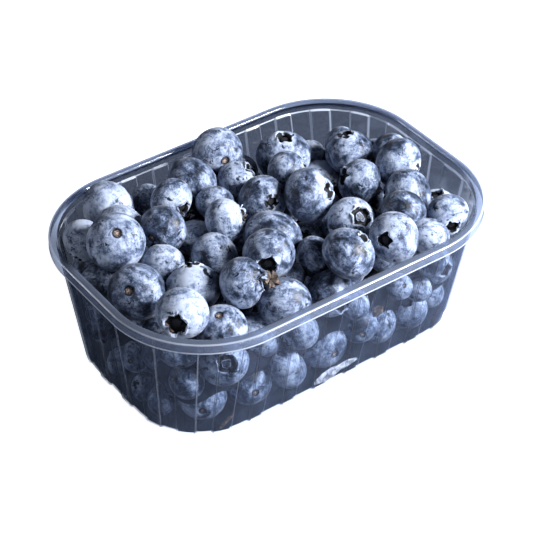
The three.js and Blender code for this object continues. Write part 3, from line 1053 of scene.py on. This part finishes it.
def petals(place, facing, count, length, width, material):
    """Curled petals round a place, that open towards where it faces."""
    up = Vector(facing).normalized()
    across = up.orthogonal().normalized()
    pieces = []
    for i in range(count):
        out = Matrix.Rotation((i / count * 360 + dry(-25, 25)) * DEGREE, 3, up) @ across
        lean = dry(20, 50)
        curl = dry(5, 40)
        reach = length * dry(0.6, 1.2) / 4
        points = [Vector(place) + out * 0.4]
        for step in range(4):
            turn = (lean + curl * step) * DEGREE
            points.append(points[-1] + (up * math.cos(turn) + out * math.sin(turn)) * reach)
        full = width * dry(0.7, 1.2)
        widths = [full * share for share in PETAL_TAPER]
        pieces.append(dried_strip(points, up.cross(out), widths, PETAL_THICKNESS, material))
    return pieces


def dried_bits():
    """Dry flowers, petals and bits of stalk that came with the berries, and pale strips that paint light
    on the bare base sheet.
    """
    tissues = {"brown": dry_petal(), "pale": painted_light_strips()}
    pieces = []
    for place, facing, count, length, width in DRY_FLOWERS:
        pieces += petals(place, facing, count, length, width, tissues["brown"])
    for start, end, side, width, thick, tone in DRY_STICKS:
        taper = STICK_TAPERS[tone]
        last = len(taper) - 1
        points = [Vector(start).lerp(Vector(end), step / last) for step in range(len(taper))]
        widths = [width * share for share in taper]
        pieces.append(dried_strip(points, Vector(side), widths, thick, tissues[tone]))
    piece = join(pieces, "dried_bits")
    make_active(piece)
    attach(piece, "root")


def core():
    """A dark rounded block in the middle of the heap: painted shade, standing for the dark deep down
    between the berries.
    """
    middle = (CORE_LOW + CORE_HIGH) / 2
    half_length, half_width, _ = room_at(middle)
    deselect()
    bpy.ops.mesh.primitive_cube_add(size=1, location=(0, 0, 0))
    piece = add_piece("heap_core_painted_shade", bpy.context.object)
    size = Matrix.Diagonal((2 * (half_length - CORE_INSET), 2 * (half_width - CORE_INSET),
                            CORE_HIGH - CORE_LOW, 1))
    piece.data.transform(Matrix.Scale(MM, 4) @ Matrix.Translation((0, 0, middle)) @ size)
    bpy.ops.object.mode_set(mode="EDIT")
    bpy.ops.mesh.select_all(action="SELECT")
    bpy.ops.mesh.bevel(offset=CORE_ROUND * MM, segments=5, affect="EDGES")
    bpy.ops.object.mode_set(mode="OBJECT")
    piece.data.materials.append(deep_shade())
    bpy.ops.object.shade_smooth_by_angle(angle=40 * DEGREE)
    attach(piece, "root")
    return piece


# ---- Floor, light and camera ----
def floor():
    deselect()
    bpy.ops.mesh.primitive_grid_add(x_subdivisions=2, y_subdivisions=2, size=4, location=(0, 0, 0))
    piece = add_piece("floor", bpy.context.object)
    piece.data.materials.append(plain_floor())


# The height that the lamps aim at, in millimetres
LAMPS_AIM = 30


def lamp(name, direction, distance, size, power, colour):
    """A square area lamp that shines on the heap from a direction."""
    data = bpy.data.lights.new(name, "AREA")
    data.size = size
    data.energy = power
    data.color = linear(colour)[:3]
    lamp_object = bpy.data.objects.new(name, data)
    bpy.context.collection.objects.link(lamp_object)
    way = Vector(direction).normalized()
    lamp_object.location = way * distance + Vector((0, 0, LAMPS_AIM)) * MM
    lamp_object.rotation_euler = way.to_track_quat("Z", "Y").to_euler()


def studio():
    lamp("key", (0.55, -0.62, 0.56), 0.6, 0.2, 12.2, "#f6f8ff")
    lamp("back", (-0.6, 0.63, 0.43), 0.8, 0.1, 1.3, "#eef2ff")
    lamp("front", (0.15, -1.0, 0.0), 0.7, 0.4, 3.9, "#eef2ff")
    lamp("left", (-1.0, -0.35, 0.05), 0.7, 0.5, 1.3, "#eef2ff")
    world = bpy.data.worlds.new("pale_room")
    bpy.context.scene.world = world
    world.use_nodes = True
    background = world.node_tree.nodes["Background"]
    background.inputs["Color"].default_value = linear("#d6def0")
    background.inputs["Strength"].default_value = 0.035
    bpy.context.scene.view_settings.view_transform = "Standard"


CAMERA_BEARING = -35.85
CAMERA_RISE = 39.04
CAMERA_DISTANCE = 645.5
CAMERA_AIM = 24
CAMERA_LENS = 126.8
SENSOR_WIDTH = 36
IMAGE_WIDTH = 533
AIM_RIGHT = 2.6
AIM_DOWN = 1.7


def camera():
    turn = CAMERA_BEARING * DEGREE
    rise = CAMERA_RISE * DEGREE
    back = Vector((math.sin(turn) * math.cos(rise), -math.cos(turn) * math.cos(rise),
                   math.sin(rise)))
    data = bpy.data.cameras.new("camera")
    data.lens = CAMERA_LENS
    data.sensor_width = SENSOR_WIDTH
    data.shift_x = -AIM_RIGHT / IMAGE_WIDTH
    data.shift_y = AIM_DOWN / IMAGE_WIDTH
    data.clip_start = 0.01
    camera_object = bpy.data.objects.new("camera", data)
    bpy.context.collection.objects.link(camera_object)
    camera_object.location = back * CAMERA_DISTANCE * MM + Vector((0, 0, CAMERA_AIM)) * MM
    camera_object.rotation_euler = back.to_track_quat("Z", "Y").to_euler()
    bpy.context.scene.camera = camera_object


camera()
studio()
floor()
tray()
heap()
dried_bits()
